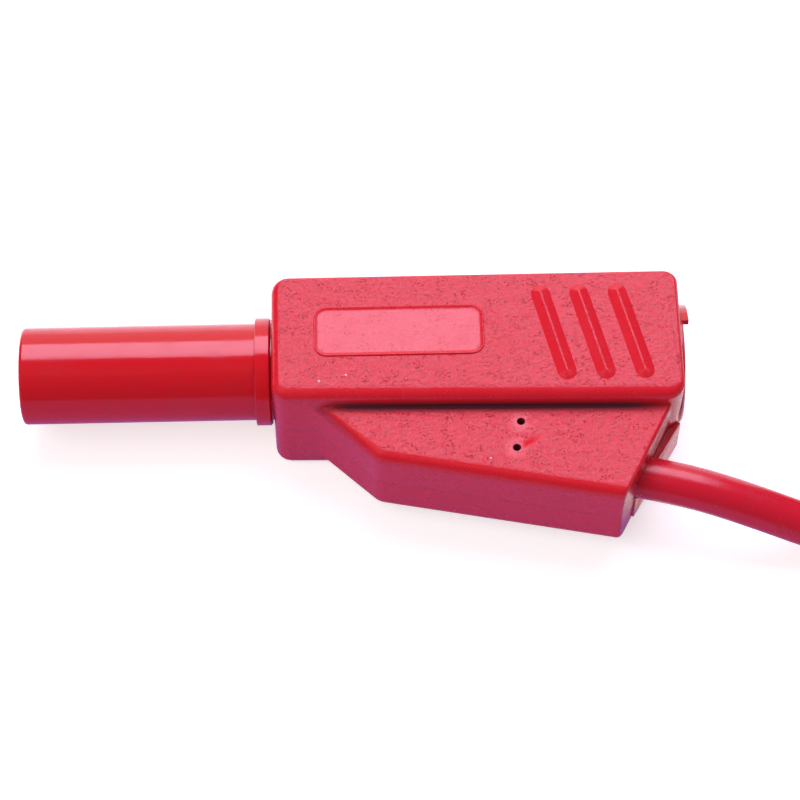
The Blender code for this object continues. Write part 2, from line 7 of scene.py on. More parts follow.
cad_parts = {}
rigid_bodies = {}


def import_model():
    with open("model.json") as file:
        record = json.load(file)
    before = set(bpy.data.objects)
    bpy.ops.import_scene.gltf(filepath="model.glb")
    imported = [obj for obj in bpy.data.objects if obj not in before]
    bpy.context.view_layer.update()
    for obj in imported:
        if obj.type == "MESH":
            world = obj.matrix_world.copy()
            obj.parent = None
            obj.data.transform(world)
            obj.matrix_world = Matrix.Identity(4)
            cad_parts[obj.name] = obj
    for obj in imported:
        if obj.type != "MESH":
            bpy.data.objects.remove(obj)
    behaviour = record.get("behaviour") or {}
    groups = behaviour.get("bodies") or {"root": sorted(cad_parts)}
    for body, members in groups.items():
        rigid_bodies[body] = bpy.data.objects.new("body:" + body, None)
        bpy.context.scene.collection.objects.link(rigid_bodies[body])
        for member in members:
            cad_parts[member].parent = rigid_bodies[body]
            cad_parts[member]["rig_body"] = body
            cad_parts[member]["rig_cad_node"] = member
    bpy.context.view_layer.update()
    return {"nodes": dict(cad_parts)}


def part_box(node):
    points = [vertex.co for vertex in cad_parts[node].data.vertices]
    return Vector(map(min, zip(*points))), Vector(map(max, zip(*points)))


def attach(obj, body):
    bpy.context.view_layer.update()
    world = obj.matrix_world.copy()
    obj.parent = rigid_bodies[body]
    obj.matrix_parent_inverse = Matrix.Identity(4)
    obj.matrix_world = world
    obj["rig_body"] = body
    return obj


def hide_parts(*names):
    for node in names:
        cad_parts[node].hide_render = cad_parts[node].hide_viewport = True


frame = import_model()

nodes = frame["nodes"]
mm = 0.001


# small helpers
def deselectAll():
    if bpy.context.object and bpy.context.object.mode != "OBJECT":
        bpy.ops.object.mode_set(mode="OBJECT")
    bpy.ops.object.select_all(action="DESELECT")


def makeActive(piece):
    deselectAll()
    piece.select_set(True)
    bpy.context.view_layer.objects.active = piece


def editMode(piece, kind="VERT"):
    makeActive(piece)
    bpy.ops.object.mode_set(mode="EDIT")
    bpy.ops.mesh.select_mode(type=kind)
    bpy.ops.mesh.select_all(action="DESELECT")


def objectMode():
    bpy.ops.object.mode_set(mode="OBJECT")


def selectEdges(piece, wanted):  # wanted gets an edge's two ends in mm
    objectMode()
    mesh = piece.data
    for edge in mesh.edges:
        a, b = (mesh.vertices[i].co / mm for i in edge.vertices)
        edge.select = wanted(a, b)
    bpy.ops.object.mode_set(mode="EDIT")


def selectFaces(piece, wanted):  # wanted gets a face's centre in mm and its normal
    objectMode()
    for face in piece.data.polygons:
        face.select = wanted(face.center / mm, face.normal)
    bpy.ops.object.mode_set(mode="EDIT")


def applyModifier(piece, kind, **settings):
    makeActive(piece)
    modifier = piece.modifiers.new(kind.lower(), kind)
    for key, value in settings.items():
        setattr(modifier, key, value)
    bpy.ops.object.modifier_apply(modifier=modifier.name)


def applyPlace(piece):
    makeActive(piece)
    bpy.ops.object.transform_apply(location=True, rotation=True, scale=True)


merging = {"weld": 0.002, "flat": 0.3}  # mm and degrees


# a copy of a CAD node, welded and without the edges inside its flat faces
def refined(nodeName, name):
    makeActive(nodes[nodeName])
    bpy.ops.object.duplicate()
    piece = bpy.context.object
    piece.name = name
    piece.parent = None
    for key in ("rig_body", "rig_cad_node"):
        if key in piece:
            del piece[key]
    editMode(piece)
    bpy.ops.mesh.select_all(action="SELECT")
    bpy.ops.mesh.remove_doubles(threshold=merging["weld"] * mm)
    bpy.ops.mesh.dissolve_limited(angle_limit=math.radians(merging["flat"]))
    objectMode()
    piece.data.materials.clear()
    return piece


# smooth normals, with the edges that crisp picks kept sharp
def smoothShade(piece, angle, crisp=None):
    makeActive(piece)
    bpy.ops.object.shade_smooth_by_angle(angle=math.radians(angle))
    if crisp:
        editMode(piece, "EDGE")
        selectEdges(piece, crisp)
        bpy.ops.mesh.mark_sharp()
        objectMode()
    applyModifier(piece, "WEIGHTED_NORMAL", keep_sharp=True, weight=80)


def dressed(piece, material, *replacedNodes, slotName):
    piece.data.materials.clear()
    piece.data.materials.append(material)
    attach(piece, "root")
    if replacedNodes:
        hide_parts(*replacedNodes)


# camera
cameraView = {
    "place": (-7.914, -114.570, 209.563),  # mm
    "elevation": 61.27,  # degrees, as yaw and roll
    "yaw": 0.675,
    "roll": -0.54,
    "focalPixels": 2828.7,
    "imagePixels": 800,
    "sensor": 36.0,
    "nearest": 5.0,
}


def addCamera(view):
    tilt, yaw, roll = (math.radians(view[key]) for key in ("elevation", "yaw", "roll"))
    ahead = Vector((math.sin(yaw) * math.cos(tilt), math.cos(yaw) * math.cos(tilt), -math.sin(tilt)))
    level = Vector((math.cos(yaw), -math.sin(yaw), 0))
    upward = level.cross(ahead)
    right = math.cos(roll) * level + math.sin(roll) * upward
    top = -math.sin(roll) * level + math.cos(roll) * upward
    turn = Matrix((right, top, -ahead)).transposed().to_4x4()
    bpy.ops.object.camera_add()
    camera = bpy.context.object
    camera.matrix_world = Matrix.Translation(Vector(view["place"]) * mm) @ turn
    camera.data.sensor_width = view["sensor"]
    camera.data.lens = view["focalPixels"] / view["imagePixels"] * view["sensor"]
    camera.data.clip_start = view["nearest"] * mm
    bpy.context.scene.camera = camera


addCamera(cameraView)
print("camera placed")

# cable, all in mm: out of the near plug, down to the hank, round its turns and into the far plug
cable = {
    "radius": 1.75,
    "length": 500.0,  # from exit to exit
    "exit": (12.95, -10.47),
    "axisHeight": 5.85,
    "heading": math.radians(14.0),
    "held": 9.3,  # inside each housing
    "straight": 2.2,
    "sagReach": 12.35,
    "sagHeight": 3.5,
    "sagSlope": 0.33,
    "settleReach": 11.7,
    "hankLift": 0.6,
    "hankLeft": 27.5,
    "hankMiddle": -1.6,
    "innerTurn": 10.5,
    "outerTurn": 14.0,
    "crossFrom": 0.3,  # share of the last inner turn after which it widens to the outer lane
    "leaveAngle": math.radians(66.0),
    "leaveStraight": 0.5,
    "arriveRadius": 12.0,
    "arriveStraight": 5.0,
    "drop": 0.55,  # how far the turns sink beyond the strap
    "dropFrom": 7.0,
    "dropOver": 12.0,
    "rightFade": (-6.0, 10.0),  # from the hank's right end, and over how far
    "leftFade": (2.0, 8.0),
    "resolution": 6,
}


def ease(t):
    t = min(1.0, max(0.0, t))
    return t * t * (3 - 2 * t)


def bent(start, startSlope, end, endSlope, steps):
    start, end = Vector(start), Vector(end)
    reach = end.x - start.x
    leaving, arriving = Vector(startSlope) * reach, Vector(endSlope) * reach
    points = []
    for k in range(steps + 1):
        u = k / steps
        points.append(start * (1 - 3 * u * u + 2 * u**3) + leaving * (u - 2 * u * u + u**3)
                      + end * (3 * u * u - 2 * u**3) + arriving * (u**3 - u * u))
    return points


def straightRun(fromX, toX, y, z, steps=6):
    return [Vector((fromX + (toX - fromX) * k / steps, y, z)) for k in range(1, steps)]


# half a turn round one end of the hank, side is 1 at its right end and -1 at its left
def fold(x, y, side, radiusAt, heightAt, steps=14):
    points = []
    for k in range(steps + 1):
        t = k / steps
        across = radiusAt(t) * side
        points.append(Vector((x + math.sin(math.pi * t) * across, y - math.cos(math.pi * t) * across,
                              heightAt(t))))
    return points


def fromNearPlug(c, laneY, bottom):
    slope = -math.tan(c["heading"])
    ahead = Vector((math.cos(c["heading"]), -math.sin(c["heading"]), 0))
    exitPoint = Vector((*c["exit"], c["axisHeight"]))
    inside = exitPoint - ahead * c["held"]
    sag = Vector((exitPoint.x + c["sagReach"], exitPoint.y + slope * c["sagReach"], c["sagHeight"]))
    falling = (1, slope, -c["sagSlope"])
    points = [inside.lerp(exitPoint, k / 4) for k in range(5)]
    points += bent(exitPoint + ahead * c["straight"], (1, slope, 0), sag, falling, 8)
    points += bent(sag, falling, (sag.x + c["settleReach"], laneY, bottom), (1, 0, 0), 8)[1:]
    return points


def hankTurns(c, startX, left, right, bottom, top):
    inner, outer, middle = c["innerTurn"], c["outerTurn"], c["hankMiddle"]

    def climb(t):
        s = ease(t)
        return bottom + 2 * c["radius"] * math.sqrt(max(0.0, 2 * s - s * s))

    def narrowing(t):
        return outer + (inner - outer) * ease(t)

    def widening(t):
        return inner + (outer - inner) * ease((t - c["crossFrom"]) / (1 - c["crossFrom"]))

    points = straightRun(startX, right, middle - outer, bottom, 5)
    points += fold(right, middle, 1, lambda t: outer, lambda t: bottom)
    points += straightRun(right, left, middle + outer, bottom)
    points += fold(left, middle, -1, narrowing, lambda t: bottom)
    points += straightRun(left, right, middle - inner, bottom)
    points += fold(right, middle, 1, lambda t: inner, lambda t: bottom)
    points += straightRun(right, left, middle + inner, bottom)
    points += fold(left, middle, -1, lambda t: inner, climb)
    points += straightRun(left, right, middle - inner, top)
    points += fold(right, middle, 1, widening, lambda t: top)
    points += straightRun(right, left, middle + outer, top)
    points += fold(left, middle, -1, lambda t: outer, lambda t: top)
    points += straightRun(left, right, middle - outer, top)
    return points


def toFarPlug(c, right, top):
    turn = c["leaveAngle"]
    centre = Vector((right, c["hankMiddle"], top))
    points = []
    for k in range(7):
        angle = turn * k / 6
        points.append(centre + Vector((math.sin(angle), -math.cos(angle), 0)) * c["outerTurn"])
    heading = Vector((math.cos(turn), math.sin(turn), 0))
    points.append(points[-1] + heading * c["leaveStraight"])
    pivot = points[-1] + Vector((heading.y, -heading.x, 0)) * c["arriveRadius"]
    spoke = points[-1] - pivot
    for k in range(1, 9):
        points.append(pivot + Matrix.Rotation(-(turn + c["heading"]) * k / 8, 3, "Z") @ spoke)
    ahead = Vector((math.cos(c["heading"]), -math.sin(c["heading"]), 0))
    for k in range(3):
        points.append(points[-1] + ahead * c["arriveStraight"] / 3)
    farExit = points[-1].copy()
    points += [farExit + ahead * c["held"] * k / 4 for k in range(1, 5)]
    return points


def cableRoute(c, hankLow, hankHigh):
    run = hankHigh.x - hankLow.x - 2 * (c["outerTurn"] + c["radius"])
    bottom = c["hankLift"] + c["radius"]
    top = bottom + 2 * c["radius"]
    left = c["hankLeft"] + c["outerTurn"] + c["radius"]
    right = left + run
    points = fromNearPlug(c, c["hankMiddle"] - c["outerTurn"], bottom)
    points += hankTurns(c, points[-1].x, left, right, bottom, top)
    points += toFarPlug(c, right, top)
    strapMiddle = (hankLow.x + hankHigh.x) / 2
    for point in points:  # beyond the strap the turns settle on the floor
        away = ease((abs(point.x - strapMiddle) - c["dropFrom"]) / c["dropOver"])
        fadeOut = 1 - ease((point.x - hankHigh.x - c["rightFade"][0]) / c["rightFade"][1])
        fadeIn = ease((point.x - hankLow.x - c["leftFade"][0]) / c["leftFade"][1])
        point.z -= c["drop"] * away * fadeOut * fadeIn
    return points


def routeLength(points):
    return sum((b - a).length for a, b in zip(points, points[1:]))


def layCable(c, points):
    bpy.ops.curve.primitive_nurbs_path_add()
    lead = bpy.context.object
    lead.name = "cable"
    lead.data.splines.clear()
    line = lead.data.splines.new("POLY")
    line.points.add(len(points) - 1)
    for knot, point in zip(line.points, points):
        knot.co = (*(point * mm), 1)
        knot.radius = c["radius"] * mm
    lead.data.bevel_depth = 1.0  # times each knot's radius
    lead.data.bevel_resolution = c["resolution"]
    lead.data.use_fill_caps = True
    return lead


hankLow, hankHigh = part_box("cable_hank")
route = cableRoute(cable, hankLow / mm, hankHigh / mm)
print("cable length from exit to exit", round(routeLength(route) - 2 * cable["held"], 1), "mm")
lead = layCable(cable, route)
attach(lead, "root")
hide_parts("cable_lead", "cable_hank", "cable_tail")
print("cable laid")


# material tools
def setInput(tree, socket, value):
    if isinstance(value, bpy.types.NodeSocket):
        tree.links.new(value, socket)
    else:
        socket.default_value = value


def addNode(tree, kind, inputs=None, **settings):
    node = tree.nodes.new(kind)
    for key, value in settings.items():
        setattr(node, key, value)
    for key, value in (inputs or {}).items():
        setInput(tree, node.inputs[key], value)
    return node


def mathNode(tree, operation, a, b=0.0, clamp=False):
    return addNode(tree, "ShaderNodeMath", {0: a, 1: b}, operation=operation, use_clamp=clamp).outputs[0]


def times(tree, a, b):
    return mathNode(tree, "MULTIPLY", a, b)


def plus(tree, a, b, clamp=False):
    return mathNode(tree, "ADD", a, b, clamp)


def minus(tree, a, b):
    return mathNode(tree, "SUBTRACT", a, b)


def absolute(tree, value):
    return mathNode(tree, "ABSOLUTE", value)


def spread(tree, value, low, high, toLow=0.0, toHigh=1.0):  # eases from low to high
    return addNode(tree, "ShaderNodeMapRange", {"Value": value, "From Min": low, "From Max": high,
                   "To Min": toLow, "To Max": toHigh}, interpolation_type="SMOOTHSTEP").outputs["Result"]


def band(tree, value, rise, fall):  # eases in over rise and out over fall
    return times(tree, spread(tree, value, *rise), spread(tree, value, *fall))


def noise(tree, vector, scale, detail, **more):
    return addNode(tree, "ShaderNodeTexNoise", {"Vector": vector, "Scale": scale, "Detail": detail,
                   **more}).outputs[0]


def stretched(tree, vector, scale):
    return addNode(tree, "ShaderNodeMapping", {"Vector": vector, "Scale": scale}).outputs[0]


def mixColour(tree, factor, a, b):
    node = tree.nodes.new("ShaderNodeMix")
    node.data_type = "RGBA"
    for index, value in ((0, factor), (6, a), (7, b)):
        setInput(tree, node.inputs[index], (*value, 1) if isinstance(value, tuple) else value)
    return node.outputs[2]


def bumpNormal(tree, height, depth):  # depth in mm
    return addNode(tree, "ShaderNodeBump", {"Height": height, "Distance": depth * mm,
                   "Strength": 1.0}).outputs[0]


def newGroup(name, inputs, outputs):
    group = bpy.data.node_groups.new(name, "ShaderNodeTree")
    for label, kind in inputs.items():
        group.interface.new_socket(label, in_out="INPUT", socket_type=kind)
    for label in outputs:
        group.interface.new_socket(label, in_out="OUTPUT", socket_type="NodeSocketFloat")
    entry = group.nodes.new("NodeGroupInput").outputs
    leave = group.nodes.new("NodeGroupOutput").inputs
    return group, entry, leave


def useGroup(tree, group, inputs):
    node = tree.nodes.new("ShaderNodeGroup")
    node.node_tree = group
    for key, value in inputs.items():
        setInput(tree, node.inputs[key], value)
    return node.outputs


def newMaterial(name, colour, roughness, metallic=0.0):
    material = bpy.data.materials.new(name)
    material.use_nodes = True
    material.diffuse_color = (*colour, 1)
    tree = material.node_tree
    shader = tree.nodes["Principled BSDF"].inputs
    shader["Base Color"].default_value = (*colour, 1)
    shader["Roughness"].default_value = roughness
    shader["Metallic"].default_value = metallic
    return material, tree, shader


def millimetres(tree, turn=0.0, shift=(0, 0, 0)):
    coordinates = tree.nodes.new("ShaderNodeTexCoord")
    return addNode(tree, "ShaderNodeMapping", {"Vector": coordinates.outputs["Object"],
                   "Scale": (1000, 1000, 1000), "Rotation": (0, 0, turn), "Location": shift}).outputs[0]


# spark-eroded mould grain: fine lumps with small pits
grainLook = {
    "stretch": (0.8, 1.1, 1.0),
    "detail": 5.0,
    "harshness": 0.75,
    "distortion": 0.2,
    "pitEdge": (0.42, 0.12),
    "pitAreas": 1.1,
    "pitAreaEdge": (0.42, 0.62),
    "pitDepth": 0.35,
}


def makeGrain(look):
    group, entry, leave = newGroup("mouldGrain", {"Vector": "NodeSocketVector", "Lumps": "NodeSocketFloat",
                                                  "Pits": "NodeSocketFloat"}, ("Height", "Pit"))
    drawn = stretched(group, entry["Vector"], look["stretch"])
    lumps = noise(group, drawn, entry["Lumps"], look["detail"], Roughness=look["harshness"],
                  Distortion=look["distortion"])
    cells = addNode(group, "ShaderNodeTexVoronoi", {"Vector": drawn, "Scale": entry["Pits"]}).outputs
    pit = times(group, spread(group, cells["Distance"], *look["pitEdge"]),
                spread(group, noise(group, drawn, look["pitAreas"], 2.0), *look["pitAreaEdge"]))
    group.links.new(minus(group, lumps, times(group, pit, look["pitDepth"])), leave["Height"])
    group.links.new(pit, leave["Pit"])
    return group


# faint rub marks from handling
handlingLook = {"size": 0.5, "detail": 4.0, "harshness": 0.6, "edge": (0.45, 0.7)}


def makeHandling(look):
    group, entry, leave = newGroup("handlingMarks", {"Vector": "NodeSocketVector"}, ("Rub",))
    rub = noise(group, entry["Vector"], look["size"], look["detail"], Roughness=look["harshness"])
    group.links.new(spread(group, rub, *look["edge"]), leave["Rub"])
    return group


# the housing, its places and lengths in the near plug's own mm
housingLook = {
    "red": (0.76, 0.011, 0.024),
    "pitRed": (0.42, 0.008, 0.022),
    # painted shade colour, for the groove along the wing's foot and the pin holes
    "shadow": (0.095, 0.034, 0.050),
    "speck": (0.95, 0.75, 0.78),
    "lumps": 3.0,
    "pits": 4.6,
    "grainHeight": 0.08,
    "levelEdge": (0.965, 0.995),  # upward part of the normal where a face counts as level
    "sideGrain": 0.06,  # share of the grain that walls and rims keep
    "pitStrength": 0.6,
    "hollows": (0.54, 0.36, 0.0, 0.5),
    "seamStrength": 0.6,
    "shadeStrength": 0.87,
    "speckStrength": 0.75,
    "gleam": 0.65,
    "smearDulls": 0.62,
    "shadeDulls": 0.45,
    "roughness": 0.26,
    "grainRoughens": 0.07,
    "rubRoughens": 0.05,
    "shadeRoughens": 0.4,
    "plateMiddle": (-6.6, 0.3),
    "plateHalf": (6.55, 2.0),
    "plateEdge": 0.1,
    "plateSmooth": 0.6,
    "wallAt": -5.872,  # the block's wall above the wing
    "wallSlope": -0.01657,
    "wingTop": 10.1,
    "onWing": (9.0, 9.6),
    "parting": 5.82,
    "seamEdge": (0.09, 0.03),
    "shadeAcross": ((-0.80, -0.18), (1.3, 0.5)),  # from the wall
    "shadeAbove": (1.1, 0.02),  # from the wing's top
    "shadeBelow": (-0.8, -0.5),
    "shadeAlong": ((-14.2, -10.2), (16.0, 11.5)),
    "holes": ((3.02, -7.4), (2.61, -9.74)),
    "holeEdge": (0.40, 0.36),
    "holeMouth": (10.09, 9.85),
    "holeFloor": (7.9, 8.2),
    "haloEdge": (1.2, 0.5),
    "haloSmooth": 0.45,
    "smearSlopes": (0.05, 0.45),
    "smearStrengths": (0.35, 1.0),
    "smearWidth": (0.5, 0.1),
    "smearAlong": ((0.3, 0.7), (3.2, 1.0)),
    "specks": ((-13.09, -4.23, 0.10), (-10.92, -3.73, 0.08), (0.5, -10.66, 0.07), (-9.4, 3.3, 0.05)),
    "speckEdge": (1.3, 0.7),
}


# masks for the places on the plug where the moulding differs, and a mask of painted shade along the wing's
# foot and inside the pin holes
def makeHousingMarks(look):
    labels = ("Shade", "Smooth", "Smear", "Seam", "Speck")
    group, entry, leave = newGroup("housingMarks", {"Vector": "NodeSocketVector"}, labels)
    x, y, z = addNode(group, "ShaderNodeSeparateXYZ", {0: entry["Vector"]}).outputs

    def aboveWing(edge):
        return spread(group, z, look["wingTop"] + edge[0], look["wingTop"] + edge[1])

    def offset(centre):
        dx, dy = minus(group, x, centre[0]), minus(group, y, centre[1])
        squares = plus(group, times(group, dx, dx), times(group, dy, dy))
        return mathNode(group, "SQRT", squares), dx, dy

    # painted shade along the foot of the block's wall above the wing, fading out towards both ends
    wall = mathNode(group, "MULTIPLY_ADD", x, look["wallSlope"])
    wall.node.inputs[2].default_value = look["wallAt"]
    onWall = band(group, minus(group, y, wall), *look["shadeAcross"])
    low = times(group, aboveWing(look["shadeAbove"]), aboveWing(look["shadeBelow"]))
    shade = times(group, times(group, onWall, low), band(group, x, *look["shadeAlong"]))
    inside = [spread(group, absolute(group, minus(group, value, middle)), half + look["plateEdge"], half)
              for value, middle, half in zip((x, y), look["plateMiddle"], look["plateHalf"])]
    smooth = times(group, times(group, *inside), look["plateSmooth"])
    onWing = spread(group, z, *look["onWing"])
    smears = []
    for hole, slope, strength in zip(look["holes"], look["smearSlopes"], look["smearStrengths"]):
        far, dx, dy = offset(hole)
        halo = times(group, spread(group, far, *look["haloEdge"]), times(group, onWing, look["haloSmooth"]))
        smooth = mathNode(group, "MAXIMUM", smooth, halo)
        # painted shade inside each pin hole, added to the Shade mask
        deep = times(group, spread(group, far, *look["holeEdge"]), spread(group, z, *look["holeMouth"]))
        shade = mathNode(group, "MAXIMUM", shade, times(group, deep, spread(group, z, *look["holeFloor"])))
        # the plastic flowed on past the pins
        aside = absolute(group, minus(group, dy, times(group, dx, slope)))
        tail = times(group, spread(group, aside, *look["smearWidth"]), band(group, dx, *look["smearAlong"]))
        smears.append(times(group, tail, times(group, onWing, strength)))
    specks = 0.0
    for *centre, radius in look["specks"]:
        edge = [radius * share for share in look["speckEdge"]]
        dot = times(group, spread(group, offset(centre)[0], *edge), onWing)
        specks = mathNode(group, "MAXIMUM", specks, dot)
    seam = spread(group, absolute(group, minus(group, z, look["parting"])), *look["seamEdge"])
    masks = (shade, smooth, mathNode(group, "MAXIMUM", *smears), seam, specks)
    for label, mask in zip(labels, masks):
        group.links.new(mask, leave[label])
    return group


grainGroup = makeGrain(grainLook)
handlingGroup = makeHandling(handlingLook)
marksGroup = makeHousingMarks(housingLook)


def makeMoulded(name, look, turn=0.0, shift=(0, 0, 0)):
    material, tree, shader = newMaterial(name, look["red"], look["roughness"])
    place = millimetres(tree, turn, shift)
    grain = useGroup(tree, grainGroup, {"Vector": place, "Lumps": look["lumps"], "Pits": look["pits"]})
    marks = useGroup(tree, marksGroup, {"Vector": place})
    rub = useGroup(tree, handlingGroup, {"Vector": place})["Rub"]
    normal = tree.nodes.new("ShaderNodeNewGeometry").outputs["Normal"]
    facing = addNode(tree, "ShaderNodeSeparateXYZ", {0: normal}).outputs[2]
    level = spread(tree, absolute(tree, facing), *look["levelEdge"])
    amount = plus(tree, times(tree, level, 1 - look["sideGrain"]), look["sideGrain"])
    smooth = mathNode(tree, "MAXIMUM", marks["Smooth"], marks["Smear"])
    amount = times(tree, amount, minus(tree, 1.0, smooth))
    mottle = plus(tree, times(tree, grain["Pit"], look["pitStrength"]),
                  spread(tree, grain["Height"], *look["hollows"]), clamp=True)
    colour = mixColour(tree, times(tree, mottle, amount), look["red"], look["pitRed"])
    colour = mixColour(tree, times(tree, marks["Seam"], look["seamStrength"]), colour, look["pitRed"])
    # painted shade from the Shade mask: the groove along the wing's foot and the pin holes
    colour = mixColour(tree, times(tree, marks["Shade"], look["shadeStrength"]), colour, look["shadow"])
    colour = mixColour(tree, times(tree, marks["Speck"], look["speckStrength"]), colour, look["speck"])
    tree.links.new(colour, shader["Base Color"])
    gleam = minus(tree, look["gleam"], times(tree, marks["Smear"], look["smearDulls"]))
    gleam = minus(tree, gleam, times(tree, marks["Shade"], look["shadeDulls"]))
    tree.links.new(gleam, shader["Specular IOR Level"])
    rough = plus(tree, times(tree, amount, look["grainRoughens"]), look["roughness"])
    rough = plus(tree, rough, times(tree, rub, look["rubRoughens"]))
    rough = plus(tree, rough, times(tree, marks["Shade"], look["shadeRoughens"]), clamp=True)
    tree.links.new(rough, shader["Roughness"])
    height = times(tree, grain["Height"], amount)
    tree.links.new(bumpNormal(tree, height, look["grainHeight"]), shader["Normal"])
    return material


# polished mouldings and the cable's jacket, with faint streaks along them
glossLooks = {
    "glossRed": {"colour": (0.68, 0.012, 0.020), "roughness": 0.13, "lumps": 1.2, "height": 0.010},
    "jacketRed": {"colour": (0.68, 0.012, 0.032), "roughness": 0.22, "lumps": 0.9, "height": 0.016},
}
glossWear = {"stretch": (0.15, 1.0, 1.0), "streakEdge": (0.5, 0.8), "dull": 0.82, "dullShare": 0.25,
             "rubRoughens": 0.07, "streakRoughens": 0.05}


def makeGloss(name, look, wear):
    material, tree, shader = newMaterial(name, look["colour"], look["roughness"])
    place = millimetres(tree)
    rub = useGroup(tree, handlingGroup, {"Vector": place})["Rub"]
    drawn = stretched(tree, place, wear["stretch"])
    streak = noise(tree, drawn, look["lumps"], 3.0)
    dull = tuple(value * wear["dull"] for value in look["colour"])
    colour = mixColour(tree, times(tree, rub, wear["dullShare"]), look["colour"], dull)
    tree.links.new(colour, shader["Base Color"])
    rough = plus(tree, look["roughness"], times(tree, rub, wear["rubRoughens"]))
    ridges = spread(tree, streak, *wear["streakEdge"])
    tree.links.new(plus(tree, rough, times(tree, ridges, wear["streakRoughens"])), shader["Roughness"])
    tree.links.new(bumpNormal(tree, streak, look["height"]), shader["Normal"])
    return material


# contacts: "turned" is how close the tool marks lie
metalLooks = {
    "turnedBrass": {"colour": (0.80, 0.62, 0.30), "stain": (0.62, 0.42, 0.18), "roughness": 0.22,
                    "turned": 9.0},
    "springMetal": {"colour": (0.86, 0.80, 0.66), "stain": (0.66, 0.56, 0.40), "roughness": 0.2,
                    "turned": 3.0},
    "bareCopper": {"colour": (0.82, 0.43, 0.27), "stain": (0.55, 0.26, 0.15), "roughness": 0.3,
                   "turned": 2.0},
}
metalWear = {"stainSize": 0.8, "stainEdge": (0.45, 0.75), "roughEdge": (0.4, 0.8), "roughens": 0.14,
             "marks": 0.012}


def makeMetal(name, look, wear):
    material, tree, shader = newMaterial(name, look["colour"], look["roughness"], 1.0)
    place = millimetres(tree)
    along = addNode(tree, "ShaderNodeSeparateXYZ", {0: place}).outputs[0]
    rings = addNode(tree, "ShaderNodeTexNoise", {"W": times(tree, along, look["turned"]), "Scale": 1.0,
                    "Detail": 2.0}, noise_dimensions="1D").outputs[0]
    stain = noise(tree, place, wear["stainSize"], 4.0)
    colour = mixColour(tree, spread(tree, stain, *wear["stainEdge"]), look["colour"], look["stain"])
    tree.links.new(colour, shader["Base Color"])
    dull = times(tree, spread(tree, stain, *wear["roughEdge"]), wear["roughens"])
    tree.links.new(plus(tree, look["roughness"], dull), shader["Roughness"])
    tree.links.new(bumpNormal(tree, rings, wear["marks"]), shader["Normal"])
    return material


webbingLook = {"dark": (0.028, 0.028, 0.031), "light": (0.075, 0.075, 0.08), "roughness": 0.85, "sheen": 0.3,
               "warp": 11.0, "weft": 9.0, "fuzz": 6.0, "weave": 0.25, "toneEdge": (0.3, 0.9), "height": 0.08}


def makeWebbing(name, look):
    material, tree, shader = newMaterial(name, look["dark"], look["roughness"])
    place = millimetres(tree)
    x, y, z = addNode(tree, "ShaderNodeSeparateXYZ", {0: place}).outputs
    warp = mathNode(tree, "SINE", times(tree, x, look["warp"]))
    weft = mathNode(tree, "SINE", times(tree, plus(tree, y, z), look["weft"]))
    fuzz = noise(tree, place, look["fuzz"], 3.0)
    tone = plus(tree, times(tree, times(tree, warp, weft), look["weave"]), fuzz)
    colour = mixColour(tree, spread(tree, tone, *look["toneEdge"]), look["dark"], look["light"])
    tree.links.new(colour, shader["Base Color"])
    shader["Sheen Weight"].default_value = look["sheen"]
    tree.links.new(bumpNormal(tree, tone, look["height"]), shader["Normal"])
    return material


# the far plug is the near one turned half round
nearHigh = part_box("housing")[1]
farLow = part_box("far_housing")[0]
farShift = Matrix.Translation((farLow.x + nearHigh.x, farLow.y + nearHigh.y, 0))
farTurn = farShift @ Matrix.Rotation(math.pi, 4, "Z")

moulded = makeMoulded("mouldedRed", housingLook)
mouldedFar = makeMoulded("mouldedRedFar", housingLook, math.pi, tuple(farTurn.translation / mm))
glossRed, jacketRed = (makeGloss(name, look, glossWear) for name, look in glossLooks.items())
turnedBrass, springMetal, bareCopper = (
    makeMetal(name, look, metalWear) for name, look in metalLooks.items())
webbing = makeWebbing("strapWebbing", webbingLook)
lead.data.materials.append(jacketRed)
print("materials made")

# near plug, in mm
plate = {"centre": (-6.6, 0.3), "size": (13.8, 4.6), "top": 11.7, "depth": 0.4, "corner": 1.1, "rim": 0.32,
         "stands": 0.16, "floor": 0.015, "edge": 0.13}
junction = {"fromX": -12.4, "toX": 14.6, "width": 0.36, "deep": 0.3, "inWall": 0.40}
groove = {"half": 0.06, "deep": 0.08, "nearSide": -5.0, "farSide": 5.3, "endX": 15.6, "endSide": 4.95,
          "within": 0.002}
ribs = {"above": 12.0, "edge": 0.1, "footLow": 11.68, "footHigh": 11.75, "fromX": 3.4, "toX": 15.2,
        "halfY": 5.2}


def mouldedPlate(p):
    bpy.ops.mesh.primitive_cube_add(size=1)
    piece = bpy.context.object
    piece.scale = Vector((*p["size"], p["depth"] + p["stands"])) * mm
    piece.location = Vector((*p["centre"], p["top"] + (p["stands"] - p["depth"]) / 2)) * mm
    applyPlace(piece)
    editMode(piece, "EDGE")
    selectEdges(piece, lambda a, b: abs(a.z - b.z) > 0.1)
    bpy.ops.mesh.bevel(offset=p["corner"] * mm, segments=10, profile=0.5, clamp_overlap=False)
    bpy.ops.mesh.select_mode(type="FACE")
    selectFaces(piece, lambda centre, normal: normal.z > 0.9)
    bpy.ops.mesh.inset(thickness=p["rim"] * mm)
    bpy.ops.transform.translate(value=(0, 0, (p["floor"] - p["stands"]) * mm))
    bpy.ops.mesh.select_mode(type="EDGE")
    selectEdges(piece, lambda a, b: min(a.z, b.z) > p["top"] + 0.01 and abs(a.z - b.z) < 0.01)
    bpy.ops.mesh.bevel(offset=p["edge"] * mm, segments=4, clamp_overlap=False)
    objectMode()
    return piece


